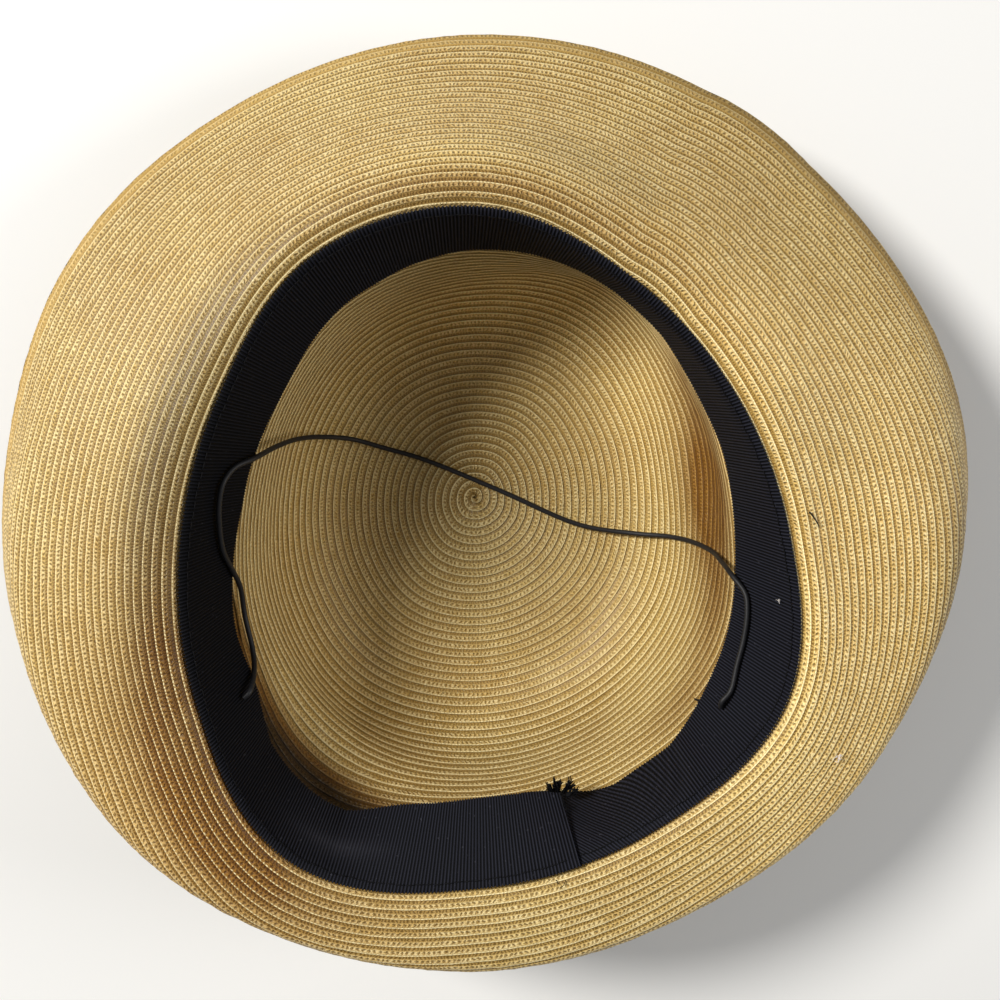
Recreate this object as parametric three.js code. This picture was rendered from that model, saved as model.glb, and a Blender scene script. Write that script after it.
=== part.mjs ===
// A straw boater hat, in millimetres. It lies upside down on the flat tip of its crown.
// +Z is up, +Y is the front of the hat and +X its left side, and the tip's outer face is at z = 0.
import * as THREE from 'three';

// Straw: one braid sewn in a spiral, so crown and brim are one shell.
const strawWall = 1.8;
const headRadius = 88; // mean, from the axis of the tip to the headline
const crownDepth = 70; // from the inner face of the tip to the headline
const shoulderRadius = 26; // between tip and wall
const turnRadius = 4; // between wall and brim
const lipSlope = 24; // degrees, of the straw at the headline
const lipLength = 8; // over which the brim takes its own slope
const brimWidth = 72; // measured along the straw
const middleShare = 0.3; // of brimWidth, where the brim has its middle slope
const azimuthSteps = 72;
const tipSteps = 2;
const shoulderSteps = 5;
const wallSteps = 4;
const turnSteps = 2;
const finerSteps = 6; // within each step of the brim
const flatSteps = 6; // of the brim before its fold
const foldSteps = 5;
const outerSteps = 5;

// Sweatband: one grosgrain ribbon, sewn at the headline, its ends lapped at the back.
const ribbonWidth = 25;
const ribbonThickness = 1;
const ribbonSteps = 4; // across its straight part
const lapFrom = 278; // degrees, where the under end starts
const lapTo = 286; // degrees, where the upper end stops
const lapRise = 24; // degrees over which the upper end climbs onto the under end
const clearance = 0.3;

// Elastic: one round cord that passes over the head, with a barb behind the ribbon at each end.
const cordDiameter = 1.5;
const cordSides = 8;
const cordSteps = 76;
const barbLength = 13;
const barbDiameter = 1.6;
const barbSides = 10;

// A row for each section of the straw. tip, where the flat tip ends, and headline are shares of headRadius.
// The brim's slopes are degrees upward as one goes outward. It rolls over from foldStart on, within
// foldLength, which are shares of brimWidth.
const strawSections = [
  { azimuth: 0, tip: 0.47, headline: 0.94, root: -28, middle: -14, outer: -66, foldStart: 0.66, foldLength: 0.2 },
  { azimuth: 30, tip: 0.5, headline: 0.875, root: -14, middle: -30, outer: -36, foldStart: 0.72, foldLength: 0.2 },
  { azimuth: 60, tip: 0.57, headline: 0.895, root: -18, middle: -42, outer: -32, foldStart: 0.5, foldLength: 0.4 },
  { azimuth: 90, tip: 0.5, headline: 0.983, root: -24, middle: -53, outer: -42, foldStart: 0.5, foldLength: 0.4 },
  { azimuth: 120, tip: 0.46, headline: 0.977, root: -26, middle: -51, outer: -48, foldStart: 0.5, foldLength: 0.4 },
  { azimuth: 150, tip: 0.42, headline: 0.895, root: -14, middle: -38, outer: -42, foldStart: 0.5, foldLength: 0.4 },
  { azimuth: 180, tip: 0.42, headline: 0.91, root: -6, middle: -30, outer: -64, foldStart: 0.68, foldLength: 0.2 },
  { azimuth: 210, tip: 0.51, headline: 1.016, root: -8, middle: -18, outer: -72, foldStart: 0.52, foldLength: 0.18 },
  { azimuth: 240, tip: 0.63, headline: 1.193, root: -2, middle: 0, outer: -76, foldStart: 0.22, foldLength: 0.14 },
  { azimuth: 270, tip: 0.66, headline: 1.125, root: 6, middle: 4, outer: -76, foldStart: 0.26, foldLength: 0.14 },
  { azimuth: 300, tip: 0.62, headline: 1.089, root: -2, middle: -12, outer: -74, foldStart: 0.34, foldLength: 0.14 },
  { azimuth: 330, tip: 0.54, headline: 1.089, root: -14, middle: -26, outer: -70, foldStart: 0.5, foldLength: 0.16 },
];

// Soft dents in the crown. at and spread are shares of the way from the middle of the tip to the
// headline, depth is in mm toward the hollow, and turn is the spread in degrees of azimuth.
const dents = [
  { azimuth: 14, turn: 24, at: 0.65, spread: 0.08, depth: -3.4 },
  { azimuth: 14, turn: 22, at: 0.52, spread: 0.07, depth: 2 },
  { azimuth: 235, turn: 16, at: 0.64, spread: 0.06, depth: 2.4 },
  { azimuth: 238, turn: 18, at: 0.8, spread: 0.07, depth: -2.6 },
];

// How far the ribbon leans in from upright, in degrees, at even azimuths.
const ribbonLean = [
  { azimuth: 0, lean: 20 },
  { azimuth: 30, lean: 6 },
  { azimuth: 60, lean: 1.5 },
  { azimuth: 90, lean: 21 },
  { azimuth: 120, lean: 33 },
  { azimuth: 150, lean: 29 },
  { azimuth: 180, lean: 25 },
  { azimuth: 210, lean: 19 },
  { azimuth: 240, lean: 16 },
  { azimuth: 270, lean: 58 },
  { azimuth: 300, lean: 14 },
  { azimuth: 330, lean: 41 },
];

// Where the ribbon leans in further still: spread in degrees of azimuth, lean in degrees.
const ribbonFolds = [
  { azimuth: 257, spread: 9, lean: 20 },
  { azimuth: 220, spread: 12, lean: 12 },
];

// The elastic's way from its left end to its right one, at its middle: over the ribbon and down
// across the tip, then up again.
const cordRoute = [
  [-66.6, -46.9, 58.8],
  [-65.1, -45.5, 58.4],
  [-64.5, -41.8, 52.6],
  [-65.3, -37.1, 47.4],
  [-67.6, -27.0, 45.2],
  [-68.2, -17.8, 48.0],
  [-69.5, -11.5, 53.1],
  [-70.9, -5.3, 58.2],
  [-71.1, 2.1, 61.6],
  [-70.6, 9.0, 63.5],
  [-69.3, 14.4, 63.7],
  [-66.8, 18.0, 61.0],
  [-61.9, 20.0, 55.5],
  [-57.9, 21.4, 42.0],
  [-53.2, 21.9, 27.0],
  [-47.0, 21.2, 15.5],
  [-38.2, 19.4, 7.0],
  [-28.8, 16.3, 3.8],
  [-16.2, 12.4, 3.1],
  [8.0, 2.2, 3.1],
  [33.8, -9.2, 3.2],
  [51.0, -11.6, 6.2],
  [60.9, -11.4, 12.9],
  [66.4, -11.4, 21.8],
  [70.2, -12.2, 33.0],
  [70.6, -13.0, 44.0],
  [71.4, -14.9, 53.5],
  [74.3, -19.4, 57.8],
  [74.6, -24.6, 59.2],
  [73.7, -31.8, 59.9],
  [71.8, -39.5, 60.5],
  [70.0, -46.5, 61.5],
  [67.5, -49.6, 61.7],
  [67.6, -51.6, 60.4],
];

// Each barb starts behind the ribbon where the elastic passes through it and points to a second place,
// given by azimuth in degrees and by distance across the ribbon from the headline. The ribbon bends, so
// standOff from its back differs.
const barbs = [
  { name: 'elastic_barb_left', azimuth: 215, distance: 18, toAzimuth: 220, toDistance: 23, standOff: 0.4 },
  { name: 'elastic_barb_right', azimuth: 322.6, distance: 16, toAzimuth: 320, toDistance: 27.5, standOff: 1.5 },
];

const radians = THREE.MathUtils.degToRad;
const smooth = (x) => THREE.MathUtils.smoothstep(x, 0, 1);

// A smooth closed curve through one column of a table with even azimuths, in degrees.
function around(table, column, azimuth) {
  const place = (((azimuth % 360) + 360) % 360) / 360 * table.length;
  const first = Math.floor(place);
  const t = place - first;
  const [a, b, c, d] = [-1, 0, 1, 2].map((step) => table[(first + step + table.length) % table.length][column]);
  const leave = (c - a) / 2;
  const arrive = (d - b) / 2;
  const near = (2 * t ** 3 - 3 * t ** 2 + 1) * b + (t ** 3 - 2 * t ** 2 + t) * leave;
  return near + (3 * t ** 2 - 2 * t ** 3) * c + (t ** 3 - t ** 2) * arrive;
}

const headlineRadius = (azimuth) => headRadius * around(strawSections, 'headline', azimuth);
const headlineHeight = strawWall + crownDepth;
const tipRadius = (azimuth) => headRadius * around(strawSections, 'tip', azimuth);

// Steps along an arc that turns from one slope to another, as distances across and up from its start.
function arc(radius, fromSlope, toSlope, steps) {
  const side = Math.sign(toSlope - fromSlope);
  return Array.from({ length: steps }, (_, i) => {
    const slope = fromSlope + ((toSlope - fromSlope) * (i + 1)) / steps;
    return {
      r: side * radius * (Math.sin(slope) - Math.sin(fromSlope)),
      z: side * radius * (Math.cos(fromSlope) - Math.cos(slope)),
      slope,
    };
  });
}

// The brim's slope at a distance along the straw from the headline.
function brimSlope(azimuth, distance) {
  const value = (column) => around(strawSections, column, azimuth);
  const share = distance / brimWidth;
  const towardMiddle = smooth(share / middleShare);
  const towardOuter = smooth((share - value('foldStart')) / value('foldLength'));
  const inner = THREE.MathUtils.lerp(value('root'), value('middle'), towardMiddle);
  const own = inner + (value('outer') - value('middle')) * towardOuter;
  return radians(THREE.MathUtils.lerp(lipSlope, own, smooth(distance / lipLength)));
}

// The wall's slope in radians, with which tip, shoulder, wall and turn just reach the headline.
function wallSlope(azimuth) {
  const lip = radians(lipSlope);
  const wanted = headlineRadius(azimuth) - tipRadius(azimuth);
  let low = radians(50);
  let high = radians(89);
  for (let i = 0; i < 30; i += 1) {
    const slope = (low + high) / 2;
    const bends = shoulderRadius * Math.sin(slope) + turnRadius * (Math.sin(slope) - Math.sin(lip));
    const reach = bends + wallHeight(slope) / Math.tan(slope);
    if (reach > wanted) {
      low = slope;
    } else {
      high = slope;
    }
  }
  return low;
}

const wallHeight = (slope) =>
  crownDepth - shoulderRadius * (1 - Math.cos(slope)) - turnRadius * (Math.cos(radians(lipSlope)) - Math.cos(slope));

// How far the dents move the straw toward the hollow, at a share of the way up the crown.
function dentLift(azimuth, share) {
  return dents.reduce((lift, dent) => {
    const turned = THREE.MathUtils.euclideanModulo(azimuth - dent.azimuth + 180, 360) - 180;
    const far = (turned / dent.turn) ** 2 + ((share - dent.at) / dent.spread) ** 2;
    return lift + dent.depth * Math.exp(-far);
  }, 0);
}

// The distances along the brim at which a section has points: they follow the fold.
function brimDistances(azimuth) {
  const start = around(strawSections, 'foldStart', azimuth);
  const end = start + around(strawSections, 'foldLength', azimuth);
  const shares = [];
  for (let i = 1; i <= flatSteps; i += 1) {
    shares.push((start * i) / flatSteps);
  }
  for (let i = 1; i <= foldSteps; i += 1) {
    shares.push(start + ((end - start) * i) / foldSteps);
  }
  for (let i = 1; i <= outerSteps; i += 1) {
    shares.push(end + ((1 - end) * i) / outerSteps);
  }
  return shares.map((share) => share * brimWidth);
}

// One section of the straw's inner face, from the middle of the tip to the brim's edge.
function strawSection(azimuth) {
  const wall = wallSlope(azimuth);
  const flat = tipRadius(azimuth);
  const shoulder = arc(shoulderRadius, 0, wall, shoulderSteps);
  const turn = arc(turnRadius, wall, radians(lipSlope), turnSteps);
  const shoulderEnd = shoulder[shoulderSteps - 1];
  const height = wallHeight(wall);
  const lengths = [flat, shoulderRadius * wall, height / Math.sin(wall), turnRadius * (wall - radians(lipSlope))];
  const total = lengths.reduce((sum, length) => sum + length);
  const points = [];
  for (let i = 1; i <= tipSteps; i += 1) {
    points.push({ r: (flat * i) / tipSteps, z: strawWall, slope: 0, along: (flat * i) / tipSteps });
  }
  shoulder.forEach((step, i) => {
    const along = flat + (lengths[1] * (i + 1)) / shoulderSteps;
    points.push({ r: flat + step.r, z: strawWall + step.z, slope: step.slope, along });
  });
  for (let i = 1; i <= wallSteps; i += 1) {
    const rise = (height * i) / wallSteps;
    const r = flat + shoulderEnd.r + rise / Math.tan(wall);
    const along = flat + lengths[1] + (lengths[2] * i) / wallSteps;
    points.push({ r, z: strawWall + shoulderEnd.z + rise, slope: wall, along });
  }
  const wallEnd = points[points.length - 1];
  turn.forEach((step, i) => {
    const along = total - lengths[3] * (1 - (i + 1) / turnSteps);
    points.push({ r: wallEnd.r + step.r, z: wallEnd.z + step.z, slope: step.slope, along });
  });
  for (const point of points) {
    point.dent = dentLift(azimuth, point.along / total);
  }
  let { r, z } = points[points.length - 1];
  let from = 0;
  for (const to of brimDistances(azimuth)) {
    const step = (to - from) / finerSteps;
    for (let i = 0; i < finerSteps; i += 1) {
      const slope = brimSlope(azimuth, from + (i + 0.5) * step);
      r += step * Math.cos(slope);
      z += step * Math.sin(slope);
    }
    points.push({ r, z, slope: brimSlope(azimuth, to), dent: 0 });
    from = to;
  }
  return points;
}

// A point of a section in space, moved along the section's normal toward the hollow.
function inSpace(azimuth, point, lift) {
  const r = point.r - lift * Math.sin(point.slope);
  const z = point.z + lift * Math.cos(point.slope);
  return [r * Math.cos(radians(azimuth)), r * Math.sin(radians(azimuth)), z];
}

function indexedGeometry(vertices, triangles) {
  const geometry = new THREE.BufferGeometry();
  geometry.setAttribute('position', new THREE.Float32BufferAttribute(vertices.flat(), 3));
  geometry.setIndex(triangles.flat());
  geometry.computeVertexNormals();
  return geometry;
}

// The straw: an inner and an outer face, each a fan at the tip and rings beyond, joined at the brim's edge.
function strawGeometry() {
  const vertices = [[0, 0, strawWall], [0, 0, 0]];
  const triangles = [];
  const sections = Array.from({ length: azimuthSteps }, (_, i) => strawSection((360 * i) / azimuthSteps));
  const rings = sections[0].length;
  for (const lift of [0, -strawWall]) {
    sections.forEach((section, i) => {
      section.forEach((point) => vertices.push(inSpace((360 * i) / azimuthSteps, point, lift + point.dent)));
    });
  }
  const at = (face, i, ring) => 2 + (face * azimuthSteps + (i % azimuthSteps)) * rings + ring;
  for (let i = 0; i < azimuthSteps; i += 1) {
    triangles.push([0, at(0, i, 0), at(0, i + 1, 0)]);
    triangles.push([1, at(1, i + 1, 0), at(1, i, 0)]);
    for (let ring = 0; ring + 1 < rings; ring += 1) {
      triangles.push([at(0, i, ring), at(0, i, ring + 1), at(0, i + 1, ring + 1)]);
      triangles.push([at(0, i, ring), at(0, i + 1, ring + 1), at(0, i + 1, ring)]);
      triangles.push([at(1, i, ring), at(1, i + 1, ring + 1), at(1, i, ring + 1)]);
      triangles.push([at(1, i, ring), at(1, i + 1, ring), at(1, i + 1, ring + 1)]);
    }
    triangles.push([at(0, i, rings - 1), at(1, i, rings - 1), at(1, i + 1, rings - 1)]);
    triangles.push([at(0, i, rings - 1), at(1, i + 1, rings - 1), at(0, i + 1, rings - 1)]);
  }
  return indexedGeometry(vertices, triangles);
}

// The ribbon's lean from upright, never less than the wall's own.
function leanAt(azimuth) {
  const folded = ribbonFolds.reduce((lean, fold) => {
    const apart = THREE.MathUtils.euclideanModulo(azimuth - fold.azimuth + 180, 360) - 180;
    return lean + fold.lean * Math.exp(-((apart / fold.spread) ** 2));
  }, around(ribbonLean, 'lean', azimuth));
  const wallLean = 90 - THREE.MathUtils.radToDeg(wallSlope(azimuth));
  return Math.max(folded, wallLean + 0.5);
}

// How far the ribbon's back stands off the straw: at its upper end it lies on its own under end.
function layerLift(azimuth) {
  const climb = smooth((azimuth - (lapTo - lapRise)) / (lapRise / 2));
  return clearance + (ribbonThickness + clearance) * climb;
}

// One section of the ribbon's back face, from the headline down to the free edge.
function ribbonSection(azimuth) {
  const lift = layerLift(azimuth);
  const lip = radians(lipSlope);
  const down = radians(90 - leanAt(azimuth));
  const radius = turnRadius + lift;
  const start = { r: headlineRadius(azimuth) - lift * Math.sin(lip), z: headlineHeight + lift * Math.cos(lip) };
  const points = [{ ...start, slope: lip }];
  for (let i = 1; i <= turnSteps; i += 1) {
    const slope = lip + ((down - lip) * i) / turnSteps;
    const r = start.r - radius * (Math.sin(slope) - Math.sin(lip));
    const z = start.z - radius * (Math.cos(lip) - Math.cos(slope));
    points.push({ r, z, slope });
  }
  const bend = points[turnSteps];
  const straight = ribbonWidth - radius * (down - lip);
  for (let i = 1; i <= ribbonSteps; i += 1) {
    const distance = (straight * i) / ribbonSteps;
    points.push({ r: bend.r - distance * Math.cos(down), z: bend.z - distance * Math.sin(down), slope: down });
  }
  return points;
}

// The ribbon goes round from its under end to its upper end, a ladder of sections with a back and a front.
function ribbonGeometry() {
  const turns = lapTo + 360 - lapFrom;
  const steps = Math.round((azimuthSteps * turns) / 360);
  const vertices = [];
  const triangles = [];
  for (let i = 0; i <= steps; i += 1) {
    const azimuth = lapFrom - 360 + (turns * i) / steps;
    const section = ribbonSection(azimuth);
    section.forEach((point) => vertices.push(inSpace(azimuth, point, 0)));
    section.forEach((point) => vertices.push(inSpace(azimuth, point, ribbonThickness)));
  }
  const count = turnSteps + ribbonSteps + 1;
  const back = (i, j) => i * 2 * count + j;
  const front = (i, j) => back(i, j) + count;
  const quad = (a, b, c, d) => triangles.push([a, b, c], [a, c, d]);
  for (let j = 0; j + 1 < count; j += 1) {
    for (let i = 0; i < steps; i += 1) {
      quad(back(i, j), back(i, j + 1), back(i + 1, j + 1), back(i + 1, j));
      quad(front(i, j), front(i + 1, j), front(i + 1, j + 1), front(i, j + 1));
    }
    quad(back(0, j), front(0, j), front(0, j + 1), back(0, j + 1));
    quad(back(steps, j), back(steps, j + 1), front(steps, j + 1), front(steps, j));
  }
  for (let i = 0; i < steps; i += 1) {
    quad(back(i, 0), back(i + 1, 0), front(i + 1, 0), front(i, 0));
    const last = count - 1;
    quad(back(i, last), front(i, last), front(i + 1, last), back(i + 1, last));
  }
  return indexedGeometry(vertices, triangles);
}

function cordGeometry() {
  const section = new THREE.Shape();
  for (let i = 0; i < cordSides; i += 1) {
    const turn = (2 * Math.PI * i) / cordSides;
    const corner = [(cordDiameter / 2) * Math.cos(turn), (cordDiameter / 2) * Math.sin(turn)];
    if (i === 0) {
      section.moveTo(...corner);
    } else {
      section.lineTo(...corner);
    }
  }
  section.closePath();
  const extrudePath = new THREE.CatmullRomCurve3(cordRoute.map((point) => new THREE.Vector3(...point)));
  return new THREE.ExtrudeGeometry(section, { extrudePath, steps: cordSteps, bevelEnabled: false });
}

// A place behind the ribbon where a barb's middle line lies.
function behindRibbon(azimuth, distance, standOff) {
  const section = ribbonSection(azimuth);
  const end = section[section.length - 1];
  const past = distance - ribbonWidth;
  const point = {
    r: end.r - past * Math.cos(end.slope),
    z: end.z - past * Math.sin(end.slope),
    slope: end.slope,
  };
  return new THREE.Vector3(...inSpace(azimuth, point, -(standOff + barbDiameter / 2)));
}

// A bar that is pointed at its far end.
function barbMesh(barb) {
  const radius = barbDiameter / 2;
  const outline = [
    [0, 0],
    [0.8 * radius, 0],
    [radius, 0.06 * barbLength],
    [radius, 0.6 * barbLength],
    [0.3 * radius, barbLength],
    [0, barbLength],
  ];
  const geometry = new THREE.LatheGeometry(outline.map((corner) => new THREE.Vector2(...corner)), barbSides);
  const made = mesh(barb.name, geometry, 0x14141a, 0.35);
  const start = behindRibbon(barb.azimuth, barb.distance, barb.standOff);
  const aim = behindRibbon(barb.toAzimuth, barb.toDistance, barb.standOff).sub(start).normalize();
  made.position.copy(start);
  made.quaternion.setFromUnitVectors(new THREE.Vector3(0, 1, 0), aim);
  return made;
}

function mesh(name, geometry, color, roughness) {
  const made = new THREE.Mesh(geometry, new THREE.MeshStandardMaterial({ color, roughness, metalness: 0 }));
  made.name = name;
  return made;
}

const group = new THREE.Group();
group.add(mesh('crown_and_brim', strawGeometry(), 0xc79f55, 0.6));
group.add(mesh('sweatband', ribbonGeometry(), 0x0c0d12, 0.75));
group.add(mesh('elastic_cord', cordGeometry(), 0x101014, 0.5));
barbs.forEach((barb) => group.add(barbMesh(barb)));

export default group;
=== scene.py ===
"""The looks of a straw boater hat that lies upside down on its crown: sewn braid, grosgrain and elastic."""

import math

import bmesh
import bpy
import numpy as np
from mathutils import Matrix, Vector


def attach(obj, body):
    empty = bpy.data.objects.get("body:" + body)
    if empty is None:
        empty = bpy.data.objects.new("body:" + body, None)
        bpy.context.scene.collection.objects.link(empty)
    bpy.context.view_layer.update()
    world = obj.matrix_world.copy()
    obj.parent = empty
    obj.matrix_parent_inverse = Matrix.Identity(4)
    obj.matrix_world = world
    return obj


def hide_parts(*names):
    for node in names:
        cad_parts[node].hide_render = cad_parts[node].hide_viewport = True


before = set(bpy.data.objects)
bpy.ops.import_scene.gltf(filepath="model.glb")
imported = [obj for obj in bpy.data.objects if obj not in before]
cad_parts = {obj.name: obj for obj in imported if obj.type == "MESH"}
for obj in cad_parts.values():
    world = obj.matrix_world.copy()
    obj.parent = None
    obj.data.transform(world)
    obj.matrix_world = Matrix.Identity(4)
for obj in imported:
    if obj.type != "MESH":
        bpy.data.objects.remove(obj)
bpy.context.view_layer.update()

MM = 0.001

# Sizes in millimetres, as in the part's source.
STRAW_WALL = 1.8
HEAD_RADIUS = 88.0
CROWN_DEPTH = 70.0
SHOULDER_RADIUS = 26.0
TURN_RADIUS = 4.0
LIP_SLOPE = 24.0
LIP_LENGTH = 8.0
BRIM_WIDTH = 72.0
MIDDLE_SHARE = 0.3
HEADLINE_HEIGHT = STRAW_WALL + CROWN_DEPTH
RIBBON_WIDTH = 25.0
RIBBON_THICKNESS = 1.0
LAP_FROM = 278.0
LAP_TO = 286.0
LAP_RISE = 24.0
CLEARANCE = 0.3
CORD_DIAMETER = 1.5

# The braid: rows from the middle of the tip to the headline, and on to the brim's edge.
CROWN_ROWS = 54
BRIM_ROWS = 27
ALL_ROWS = CROWN_ROWS + BRIM_ROWS

# Sections made round the hat, in the crown and in the brim.
CROWN_STEPS = 200
BRIM_STEPS = 384

# The strands that cross in the braid and the beads along its ridge, in mm, and the crossing's slant.
STRAND_PITCH = 1.3
BEAD_PITCH = 1.0
STRAND_SLANT = 1.1

# Straw colours as the photograph shows them, 0 to 255.
STRAW_MID = (206, 168, 92)
STRAW_LIGHT = (226, 192, 114)
STRAW_BEAD = (255, 238, 184)
STRAW_GAP = (146, 110, 46)
# Painted shade in the grooves between rows and in the braid's holes, partly the straw's own darker colour
# there.
STRAW_GROOVE_SHADE = (108, 80, 24)
STRAW_HEM = (208, 168, 88)
# The brown tint below colours real stains and also paints shade on the crown's wall.
STAIN_AND_SHADE_TINT = (0.38, 0.24, 0.09, 1.0)

# Colours of the ribbon, the threads, the barbs and the lint, in the same way.
RIBBON_BLACK = (7, 7, 10)
RIBBON_FADED = (14, 15, 19)
# Painted highlight on the rib tops, painted shade in the valleys between them, and a painted highlight
# along one fold.
RIBBON_RIB_HIGHLIGHT = (64, 66, 82)
RIBBON_VALLEY_SHADE = (4, 4, 6)
RIBBON_FOLD_HIGHLIGHT = (70, 70, 78)
RIBBON_LINT = (80, 80, 88)
ELASTIC_BLACK = (14, 14, 17)
THREAD_BLACK = (7, 7, 9)
BARB_BLACK = (22, 22, 26)
BARB_WORN = (66, 62, 58)
LINT_WARM = (236, 226, 220)
LINT_WHITE = (255, 250, 244)

# Yarns: the fuzz's fineness and gloss, and how much paler the fuzz is.
ELASTIC_FINENESS = 1400.0
ELASTIC_GLOSS = 0.4
THREAD_FINENESS = 2500.0
THREAD_GLOSS = 0.1
FUZZ_GAIN = 2.2
FUZZ_LIFT = 0.004

# How much the straw's colour is scaled where it is paler and where it is duller, much of that painted light
# and painted shade, and once more in the deepest painted shade.
PALER = 1.45
DULLER = 0.45
DEEPEST_PAINTED_SHADE = 0.3

# Across one row, phase 0 to 1, each part fades between two phases: where it has none, and where it is full.
BRAID_IN = (0.34, 0.46)
BRAID_OUT = (0.84, 0.78)
HOLES_IN = (0.4, 0.5)
HOLES_OUT = (0.74, 0.64)
RIDGE_IN = (0.8, 0.86)
RIDGE_OUT = (1.0, 0.96)
GROOVE_IN = (0.965, 1.0)
GROOVE_OUT = (0.44, 0.26)

# In rows from the middle of the tip: where the hem begins, and where the crown's braid becomes the brim's.
HEM_IN = (79.0, 79.3)
ONTO_BRIM = (48, 57)

# Noises over the braid and the ribbon: how fast they change along the strands, in mm, and from row to row.
CLUMPS = {"along": 0.16, "across": 1.3, "detail": 2.0, "roughness": 0.55}
FIBRES = {"along": 1.6, "across": 9.0, "detail": 2.0, "roughness": 0.5}
GRAINS = {"along": 1.1, "across": 4.3, "detail": 1.0, "roughness": 0.5}
WEAVE = {"along": 2.2, "across": 9.0, "detail": 2.0, "roughness": 0.6}

# How far clumps and grains put the strands out of step, and how far the under strand lags, in radians.
CLUMP_SLIP = 12.0
GRAIN_SLIP = 5.0
UNDER_LAG = 2.2

# How strongly the straw's parts take their colour, 0 to 1.
GAPS = 0.55
DULL_FIBRES = 0.5
LIT_STRANDS = 0.55
HEM = 0.5
RUBBED_BEADS = 0.9
RUBBED_WHERE_CLEAN = 0.25

# Strengths that follow another value: a base, and what is added as that value goes from 0 to 1.
GROOVE_BY_BRIM = (0.8, 0.2)
GROOVE_BY_STRAND = (0.72, 0.28)
GROOVE_BY_FIBRE = (0.82, 0.5)
FLECKS_BY_BRIM = (0.8, -0.3)
HOLES_BY_BRIM = (0.2, 0.55)
RIDGE_BY_BEAD = (0.5, 0.5)
RIDGE_HEIGHT_BY_BEAD = (0.55, 0.5)
GROOVE_DOTS = 1.5  # for each strand

# Heights of the braid's holes and fibres beside a strand's height of 1.
HOLE_DEPTH = 0.6
FIBRE_HEIGHT = 0.35

# Sections of the straw every 30 degrees: tip and headline as shares of HEAD_RADIUS, three slopes of the
# brim in degrees, and where its fold starts and how long it is, as shares of BRIM_WIDTH.
STRAW_SECTIONS = {
    "tip": [0.47, 0.5, 0.57, 0.5, 0.46, 0.42, 0.42, 0.51, 0.63, 0.66, 0.62, 0.54],
    "headline": [0.94, 0.875, 0.895, 0.983, 0.977, 0.895, 0.91, 1.016, 1.193, 1.125, 1.089, 1.089],
    "root": [-28, -14, -18, -24, -26, -14, -6, -8, -2, 6, -2, -14],
    "middle": [-14, -30, -42, -53, -51, -38, -30, -18, 0, 4, -12, -26],
    "outer": [-66, -36, -32, -42, -48, -42, -64, -72, -76, -76, -74, -70],
    "fold_start": [0.66, 0.72, 0.5, 0.5, 0.5, 0.5, 0.68, 0.52, 0.22, 0.26, 0.34, 0.5],
    "fold_length": [0.2, 0.2, 0.4, 0.4, 0.4, 0.4, 0.2, 0.18, 0.14, 0.14, 0.14, 0.16],
}

# Soft dents in the crown: azimuth and turn in degrees, at and spread as shares of the way up, depth in mm.
DENTS = [
    {"azimuth": 14, "turn": 24, "at": 0.65, "spread": 0.08, "depth": -3.4},
    {"azimuth": 14, "turn": 22, "at": 0.52, "spread": 0.07, "depth": 2.0},
    {"azimuth": 235, "turn": 16, "at": 0.64, "spread": 0.06, "depth": 2.4},
    {"azimuth": 238, "turn": 18, "at": 0.8, "spread": 0.07, "depth": -2.6},
]

# The ribbon's lean from upright every 30 degrees, and where it folds in further.
RIBBON_LEAN = [20, 6, 1.5, 21, 33, 29, 25, 19, 16, 58, 14, 41]
RIBBON_FOLDS = [
    {"azimuth": 257, "spread": 9, "lean": 20},
    {"azimuth": 220, "spread": 12, "lean": 12},
]

# The elastic's way in millimetres, from its left end to its right one.
CORD_ROUTE = [
    (-66.6, -46.9, 58.8),
    (-65.1, -45.5, 58.4),
    (-64.5, -41.8, 52.6),
    (-65.3, -37.1, 47.4),
    (-67.6, -27.0, 45.2),
    (-68.2, -17.8, 48.0),
    (-69.5, -11.5, 53.1),
    (-70.9, -5.3, 58.2),
    (-71.1, 2.1, 61.6),
    (-70.6, 9.0, 63.5),
    (-69.3, 14.4, 63.7),
    (-66.8, 18.0, 61.0),
    (-61.9, 20.0, 55.5),
    (-57.9, 21.4, 42.0),
    (-53.2, 21.9, 27.0),
    (-47.0, 21.2, 15.5),
    (-38.2, 19.4, 7.0),
    (-28.8, 16.3, 3.8),
    (-16.2, 12.4, 3.1),
    (8.0, 2.2, 3.1),
    (33.8, -9.2, 3.2),
    (51.0, -11.6, 6.2),
    (60.9, -11.4, 12.9),
    (66.4, -11.4, 21.8),
    (70.2, -12.2, 33.0),
    (70.6, -13.0, 44.0),
    (71.4, -14.9, 53.5),
    (74.3, -19.4, 57.8),
    (74.6, -24.6, 59.2),
    (73.7, -31.8, 59.9),
    (71.8, -39.5, 60.5),
    (70.0, -46.5, 61.5),
    (67.5, -49.6, 61.7),
    (67.6, -51.6, 60.4),
]


def smooth(x):
    x = np.clip(x, 0, 1)
    return x * x * (3 - 2 * x)


def around(values, azimuth):
    """A smooth closed curve through values at even azimuths, in degrees."""
    values = np.asarray(values, float)
    count = len(values)
    place = np.mod(azimuth, 360) / 360 * count
    first = np.floor(place).astype(int)
    t = place - first
    a, b, c, d = (values[(first + step) % count] for step in (-1, 0, 1, 2))
    leave, arrive = (c - a) / 2, (d - b) / 2
    near = (2 * t**3 - 3 * t**2 + 1) * b + (t**3 - 2 * t**2 + t) * leave
    return near + (3 * t**2 - 2 * t**3) * c + (t**3 - t**2) * arrive


def column(name, azimuth):
    return around(STRAW_SECTIONS[name], azimuth)


def apart(azimuth, other):
    """The turn from one azimuth to another, from -180 to 180 degrees."""
    return np.mod(azimuth - other + 180, 360) - 180


def headline_radius(azimuth):
    return HEAD_RADIUS * column("headline", azimuth)


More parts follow.
